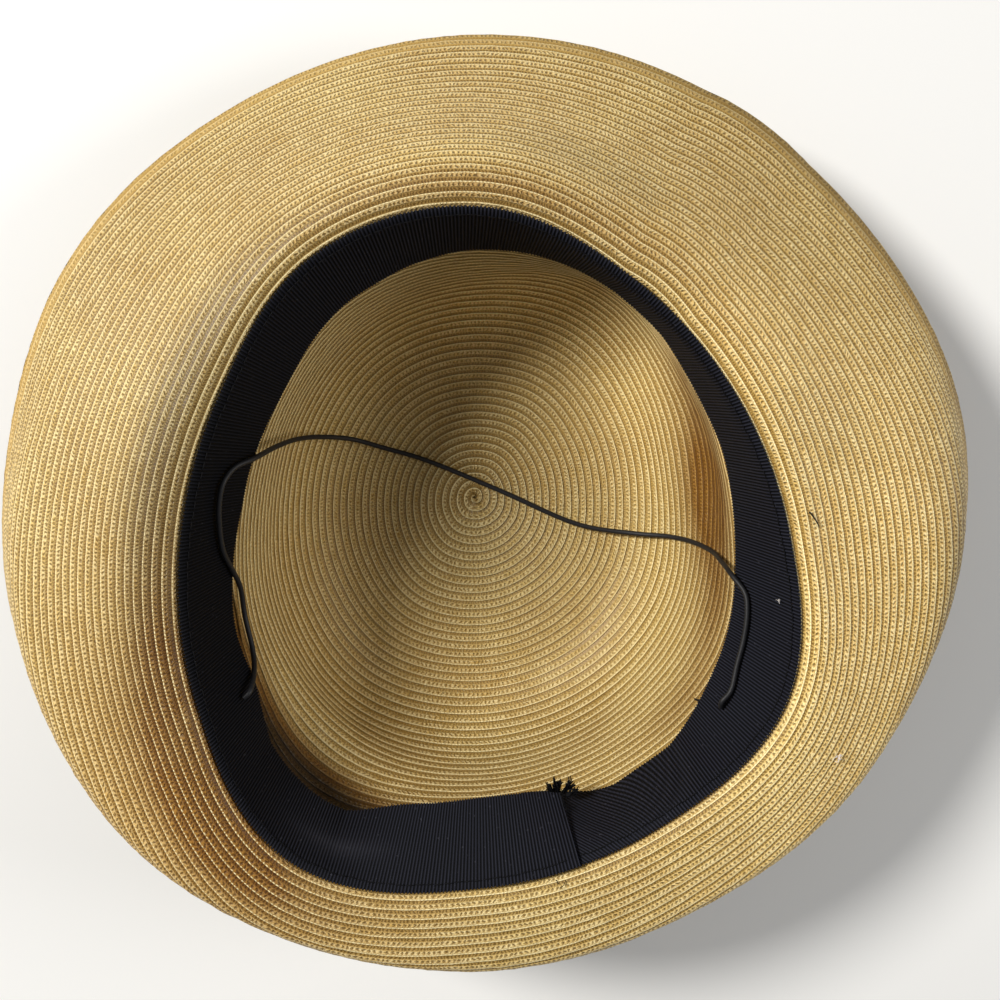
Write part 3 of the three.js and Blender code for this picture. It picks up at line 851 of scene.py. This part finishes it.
def ribbon_piece(material):
    """The grosgrain strip with its ribs, scalloped edges and gentle waves."""
    azimuths, lengths = ribbon_line(RIB_LINE, RIBBON_THICKNESS / 2)
    ribs = int(lengths[-1] / RIB_PITCH)
    along = np.linspace(0, lengths[-1], ribs * RIB_SAMPLES + 1)
    azimuth = np.interp(along, lengths, azimuths)
    phase = along / RIB_PITCH * 2 * math.pi
    wave = random_walk(len(along), WAVE_SEED, WAVE_SMOOTHING)
    from_start = azimuth - azimuths[0]
    beside = smooth(1 - from_start / FOLD_TURN)
    sunk = FOLD_DEPTH * np.exp(-(((from_start - FOLD_AT) / FOLD_SPREAD) ** 2))
    # Painted shade where the strip faces away from the light, round the left of the hat.
    painted_shade = np.exp(-((apart(azimuth, RIBBON_SHADE_AT) / RIBBON_SHADE_TURN) ** 2))
    points = []
    told = []
    for front in (False, True):
        for lane in RIBBON_LANES:
            edge = np.clip(1 - min(lane, 1 - lane) / EDGE_SHARE, 0, 1)
            outward = 1 if lane > 0.5 else -1
            distance = lane * RIBBON_WIDTH + (np.cos(phase) - 1) * PICOT * edge * outward
            rib = RIB_HEIGHT * np.cos(phase) * (1 - 0.5 * edge) * (1 - beside)
            if front:
                lift = RIBBON_THICKNESS * FRONT_SHARE + rib - EDGE_THINNING * edge
            else:
                lift = RIBBON_THICKNESS * BACK_SHARE - BACK_RIBS * rib + EDGE_THINNING * edge
            flutter = WAVE_DEPTH * wave * np.clip(lane - WAVE_FROM, 0, 1) ** 2
            pulled = sunk * smooth((lane - FOLD_FROM) / FOLD_FADE)
            points.append(on_ribbon(azimuth, distance, lift + flutter - pulled))
            slanted = along + FOLD_SLANT * beside * lane * RIBBON_WIDTH
            across = np.full_like(along, lane * RIBBON_WIDTH)
            # A painted highlight along one fold of the strip.
            highlight_lane = (lane - HIGHLIGHT_LANE) / HIGHLIGHT_SPREAD
            painted_highlight = np.exp(-((apart(azimuth, HIGHLIGHT_AT) / HIGHLIGHT_TURN) ** 2) - highlight_lane**2)
            told.append(np.stack([slanted / RIB_PITCH, across, painted_shade, painted_highlight], -1))
    lanes = len(RIBBON_LANES)
    points = np.stack(points, 1)
    told = np.stack(told, 1).reshape(-1, 4)
    index = np.arange(len(along) * lanes * 2).reshape(-1, lanes * 2)
    back, front = index[:, :lanes], index[:, lanes:]
    ladders = [
        ladder(back[:-1, :-1], back[:-1, 1:], back[1:, 1:], back[1:, :-1]),
        ladder(front[:-1, :-1], front[1:, :-1], front[1:, 1:], front[:-1, 1:]),
        ladder(back[:-1, 0], back[1:, 0], front[1:, 0], front[:-1, 0]),
        ladder(back[:-1, -1], front[:-1, -1], front[1:, -1], back[1:, -1]),
        ladder(back[0, :-1], front[0, :-1], front[0, 1:], back[0, 1:]),
        ladder(back[-1, :-1], back[-1, 1:], front[-1, 1:], front[-1, :-1]),
    ]
    attributes = {name: told[:, i] for i, name in enumerate(("rib", "across", "painted_shade", "painted_highlight"))}
    vertices, faces = points.reshape(-1, 3), np.concatenate(ladders)
    obj = new_object("sweatband_grosgrain", vertices, faces, material, attributes)
    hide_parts("sweatband")


def tube(path, radius, sides=6, taper=1.0):
    """A closed tube round a path of points: vertices and faces."""
    path = np.asarray(path, float)
    count = len(path)
    tangent = np.gradient(path, axis=0)
    tangent /= np.linalg.norm(tangent, axis=1)[:, None] + 1e-12
    side = np.cross(tangent[0], [0.3, 0.5, 0.8])
    rings = []
    radii = radius * np.linspace(1, taper, count)
    for i in range(count):
        side = side - tangent[i] * (side @ tangent[i])
        side = side / np.linalg.norm(side)
        other = np.cross(tangent[i], side)
        turn = np.arange(sides) * 2 * math.pi / sides
        rings.append(path[i] + radii[i] * (np.cos(turn)[:, None] * side + np.sin(turn)[:, None] * other))
    vertices = np.concatenate(rings + [path[:1], path[-1:]])
    index = np.arange(count * sides).reshape(count, sides)
    after = np.roll(index, -1, 1)
    faces = [tuple(q) for q in np.stack([index[:-1], after[:-1], after[1:], index[1:]], -1).reshape(-1, 4)]
    faces += [(count * sides, after[0, j], index[0, j]) for j in range(sides)]
    faces += [(count * sides + 1, index[-1, j], after[-1, j]) for j in range(sides)]
    return vertices, faces


def joined(tubes):
    vertices, faces, base = [], [], 0
    for points, quads in tubes:
        vertices.append(points)
        faces += [tuple(int(v) + base for v in face) for face in quads]
        base += len(points)
    return np.concatenate(vertices), faces


# The stitches in mm: pitch, distance from the headline, radius, how far each stands up and is sunk in the
# ribs, and how far the row wanders; the part of each pitch that shows, and the wandering's step in radians.
STITCH_PITCH = 2.7
STITCH_INSET = 2.4
STITCH_RADIUS = 0.16
STITCH_RISE = 0.22
STITCH_SINK = 0.12
STITCH_WANDER = 0.12
STITCH_SHOWS = (0.08, 0.92)
STITCH_POINTS = 6
WANDER_STEP = 1.7


def stitch_piece(material):
    """The machine stitches that hold the ribbon, one short sunk thread for each."""
    azimuths, lengths = ribbon_line(STITCH_INSET, RIBBON_THICKNESS)
    spots = np.linspace(*STITCH_SHOWS, STITCH_POINTS)
    lift = RIBBON_THICKNESS * FRONT_SHARE + RIB_HEIGHT + STITCH_RISE * np.sin(np.pi * spots) - STITCH_SINK
    made = []
    for n in range(int(lengths[-1] / STITCH_PITCH) - 1):
        azimuth = np.interp((n + spots) * STITCH_PITCH, lengths, azimuths)
        inset = STITCH_INSET + STITCH_WANDER * math.sin(n * WANDER_STEP)
        made.append(tube(on_ribbon(azimuth, np.full(STITCH_POINTS, inset), lift), STITCH_RADIUS, 5))
    vertices, faces = joined(made)
    return new_object("sweatband_stitches", vertices, faces, material, None)


def catmull(points, per_span):
    """Points of the centripetal curve through a route."""
    route = np.array(points, float)
    padded = np.concatenate([[2 * route[0] - route[1]], route, [2 * route[-1] - route[-2]]])
    made = []
    for i in range(len(route) - 1):
        a, b, c, d = padded[i : i + 4]
        gaps = [max(np.linalg.norm(q - p), 1e-9) ** 0.5 for p, q in ((a, b), (b, c), (c, d))]
        leave = ((b - a) / gaps[0] - (c - a) / (gaps[0] + gaps[1]) + (c - b) / gaps[1]) * gaps[1]
        arrive = ((c - b) / gaps[1] - (d - b) / (gaps[1] + gaps[2]) + (d - c) / gaps[2]) * gaps[1]
        t = np.linspace(0, 1, per_span, endpoint=False)[:, None]
        near = (2 * t**3 - 3 * t**2 + 1) * b + (t**3 - 2 * t**2 + t) * leave
        made.append(near + (3 * t**2 - 2 * t**3) * c + (t**3 - t**2) * arrive)
    return np.concatenate(made + [route[-1:]])


def elastic_piece(material):
    """The elastic as one curve with its real length."""
    points = catmull(CORD_ROUTE, 6)
    curve = bpy.data.curves.new("elastic_cord_cover", "CURVE")
    curve.dimensions = "3D"
    spline = curve.splines.new("POLY")
    spline.points.add(len(points) - 1)
    for target, place in zip(spline.points, points):
        target.co = (*(place * MM), 1.0)
    curve.bevel_depth = CORD_DIAMETER / 2 * MM
    curve.bevel_resolution = 4
    curve.use_fill_caps = True
    curve.materials.append(material)
    obj = bpy.data.objects.new("elastic_cord_cover", curve)
    bpy.context.scene.collection.objects.link(obj)
    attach(obj, "root")
    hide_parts("elastic_cord")


def strand(start, heading, length, curl, rng, steps=12):
    """A loose thread that wanders from its start."""
    points = [np.array(start, float)]
    direction = np.array(heading, float) / np.linalg.norm(heading)
    for _ in range(steps):
        direction = direction + rng.normal(size=3) * curl
        direction /= np.linalg.norm(direction)
        points.append(points[-1] + direction * length / steps)
    return np.array(points)


# Warp threads that have come loose along the ribbon's end, and their radius in mm.
LOOSE_WARPS = 40
LOOSE_RADIUS = 0.1

# Bundles of warp at the ribbon's free corner: threads in each and their radius in mm; then for each bundle
# its turn from the lap's end in degrees, inset from the edge and length in mm, and lean aside and up.
TUFT_THREADS = 26
TUFT_RADIUS = 0.2
FRAYED_TUFTS = [
    {"azimuth": -1.6, "inset": 0.6, "length": 2.6, "aside": -0.5, "up": 0.5},
    {"azimuth": -0.4, "inset": 0.8, "length": 4.6, "aside": -0.1, "up": 0.6},
    {"azimuth": 1.0, "inset": 1.6, "length": 5.2, "aside": 0.35, "up": 0.6},
    {"azimuth": 1.6, "inset": 3.2, "length": 3.4, "aside": 0.9, "up": 0.4},
]


def frayed_end(material):
    """Warp threads that have come loose at the ribbon's upper end, thickest at its free corner."""
    rng = np.random.default_rng(8)
    made = []
    for _ in range(LOOSE_WARPS):
        distance = RIBBON_WIDTH * (0.5 + 0.5 * rng.random() ** 0.6)
        start = on_ribbon(np.array(LAP_TO - 0.1), np.array(distance), 0.75 + 0.2 * rng.random())
        ahead = on_ribbon(np.array(LAP_TO + 1.5), np.array(distance), 1.0 + rng.random()) - start
        ahead = ahead / np.linalg.norm(ahead) + np.array([0, 0.25, 0.35]) * rng.random()
        made.append(tube(strand(start, ahead, 0.8 + 1.6 * rng.random(), 0.3, rng), LOOSE_RADIUS, 5, 0.5))
    for tuft in FRAYED_TUFTS:
        root = on_ribbon(np.array(LAP_TO + tuft["azimuth"]), np.array(RIBBON_WIDTH - tuft["inset"]), 1.15)
        for _ in range(TUFT_THREADS):
            start = root + rng.normal(size=3) * (0.4, 0.2, 0.2)
            heading = np.array([tuft["aside"], 1.0, tuft["up"]]) + rng.normal(size=3) * 0.06
            length = tuft["length"] * (0.75 + 0.35 * rng.random())
            made.append(tube(strand(start, heading, length, 0.08, rng), TUFT_RADIUS, 5, 0.85))
    vertices, faces = joined(made)
    return new_object("sweatband_frayed_threads", vertices, faces, material, None)


def on_straw(azimuth, row, lift):
    return StrawSection(azimuth).at(np.array([float(row)]), lift)[0]


# The stitch that shows on the brim and the two tails by the lap: azimuths and rows, and sizes in mm.
BRIM_STITCH_FROM = (4.4, 56.2)
BRIM_STITCH_TO = (1.5, 57.0)
BRIM_STITCH_RADIUS = 0.24
LAP_TAILS = ((281.5, 54.5), (283, 54.8))
TAIL_LENGTH = 3.5
TAIL_RADIUS = 0.11


def loose_threads(material):
    """The sewing thread's ends: one stitch that shows on the brim and two short tails by the lap."""
    rng = np.random.default_rng(3)
    stitch = []
    for t in np.linspace(0, 1, 8):
        azimuth, row = (a + (b - a) * t for a, b in zip(BRIM_STITCH_FROM, BRIM_STITCH_TO))
        stitch.append(on_straw(azimuth, row, 0.4 + 0.3 * math.sin(math.pi * t)))
    made = [tube(stitch, BRIM_STITCH_RADIUS, 6, 0.6)]
    for azimuth, row in LAP_TAILS:
        tail = strand(on_straw(azimuth, row, 0.5), (0.7, -0.6, 0.3), TAIL_LENGTH, 0.25, rng)
        made.append(tube(tail, TAIL_RADIUS, 5, 0.6))
    vertices, faces = joined(made)
    return new_object("sewing_thread_ends", vertices, faces, material, None)


def lint_material():
    s = Shader("white_lint")
    tone = s.noise(s.position(), 3000.0, 2.0, 0.5)
    s.set(Base_Color=s.mix(tone, srgb(*LINT_WARM), srgb(*LINT_WHITE)), Roughness=0.9)
    return s.material


def lint_piece(material):
    """Two specks of lint, each a small tangle of fibre."""
    rng = np.random.default_rng(11)
    made = []
    spots = (
        (on_ribbon(np.array(347.0), np.array(6.5), 1.35), 0.7),
        (on_straw(327.0, 63.2, 0.3), 1.6),
    )
    for place, size in spots:
        for _ in range(9):
            start = place + rng.normal(size=3) * 0.18 * size
            heading = rng.normal(size=3) * (1, 1, 0.3)
            made.append(tube(strand(start, heading, 1.3 * size, 0.6, rng, 8), 0.07 * size, 5, 0.6))
    vertices, faces = joined(made)
    return new_object("lint_specks", vertices, faces, material)


# The photograph's camera: its place in mm, how far its line of sight is from straight down, to the side
# and toward the back, in degrees, its focal length as a share of the picture's width, and the sensor.
CAMERA_PLACE = (-13.9, 63.9, 395.4)
CAMERA_SIDE = 3.2
CAMERA_BACK = 9.5
FOCAL_SHARE = 1.2441
SENSOR_WIDTH = 36.0

# Studio lights: where they point, then place and disc size in metres, power in watts and colour; the
# sky's fill; and the floor's half side in metres and its two tones.
LIGHT_TARGET = (0, 0, 0.05)
LIGHTS = [
    {"name": "key", "place": (-1.02, 0.62, 1.1), "size": 0.42, "power": 29.0, "colour": (1.0, 0.975, 0.93)},
    {"name": "side", "place": (1.3, 0.1, 0.75), "size": 0.7, "power": 8.6, "colour": (1.0, 0.98, 0.95)},
]
WORLD_COLOUR = (0.95, 0.97, 1.0, 1.0)
WORLD_STRENGTH = 0.2
FLOOR_HALF = 4.0
FLOOR_SHADE = (0.86, 0.86, 0.85, 1.0)
FLOOR_PALE = (0.9, 0.9, 0.89, 1.0)


def add_camera():
    data = bpy.data.cameras.new("camera")
    data.sensor_width = SENSOR_WIDTH
    data.lens = SENSOR_WIDTH * FOCAL_SHARE
    data.clip_start, data.clip_end = 0.01, 20
    camera = bpy.data.objects.new("camera", data)
    side, back = math.sin(math.radians(CAMERA_SIDE)), math.sin(math.radians(CAMERA_BACK))
    ahead = Vector((side, -back, -1)).normalized()
    right = ahead.cross(Vector((0, 1, 0))).normalized()
    up = right.cross(ahead)
    turned = Matrix((right, up, -ahead)).transposed().to_4x4()
    camera.matrix_world = Matrix.Translation(Vector(CAMERA_PLACE) * MM) @ turned
    bpy.context.scene.collection.objects.link(camera)
    bpy.context.scene.camera = camera


def area_light(name, place, size, power, colour):
    data = bpy.data.lights.new(name, "AREA")
    data.shape = "DISK"
    data.size = size
    data.energy = power
    data.color = colour
    light = bpy.data.objects.new(name, data)
    light.location = place
    light.rotation_mode = "QUATERNION"
    light.rotation_quaternion = (Vector(place) - Vector(LIGHT_TARGET)).to_track_quat("Z", "Y")
    bpy.context.scene.collection.objects.link(light)


def add_floor():
    mesh = bpy.data.meshes.new("floor")
    half = FLOOR_HALF
    corners = [(-half, -half, 0), (half, -half, 0), (half, half, 0), (-half, half, 0)]
    mesh.from_pydata(corners, [], [(0, 1, 2, 3)])
    floor = bpy.data.objects.new("floor", mesh)
    s = Shader("pale_floor")
    tone = s.noise(s.position(), 3.0, 2.0, 0.5)
    s.set(Base_Color=s.mix(tone, FLOOR_SHADE, FLOOR_PALE), Roughness=0.7)
    mesh.materials.append(s.material)
    bpy.context.scene.collection.objects.link(floor)


def add_light():
    """A soft key from the left, which leaves half of the crown in shade, and a low light from the right."""
    for light in LIGHTS:
        area_light(**light)
    world = bpy.data.worlds.new("studio")
    world.use_nodes = True
    background = world.node_tree.nodes["Background"]
    background.inputs[0].default_value = WORLD_COLOUR
    background.inputs[1].default_value = WORLD_STRENGTH
    bpy.context.scene.world = world
    bpy.context.scene.view_settings.view_transform = "Standard"


def main():
    add_camera()
    elastic_piece(thread_material("black_elastic_cover", ELASTIC_BLACK, ELASTIC_FINENESS, ELASTIC_GLOSS))
    straw = straw_material()
    crown = braid_piece("straw_braid_crown", 0, CROWN_ROWS, CROWN_STEPS, straw, False)
    braid_piece("straw_braid_brim", CROWN_ROWS, ALL_ROWS, BRIM_STEPS, straw, True)
    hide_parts("crown_and_brim")
    ribbon_piece(ribbon_material())
    black = thread_material("black_sewing_thread", THREAD_BLACK, THREAD_FINENESS, THREAD_GLOSS)
    stitch_piece(black)
    frayed_end(black)
    loose_threads(black)
    lint_piece(lint_material())
    barb = barb_material()
    for name in ("elastic_barb_left", "elastic_barb_right"):
        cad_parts[name].material_slots[0].material = barb
    add_floor()
    add_light()


main()
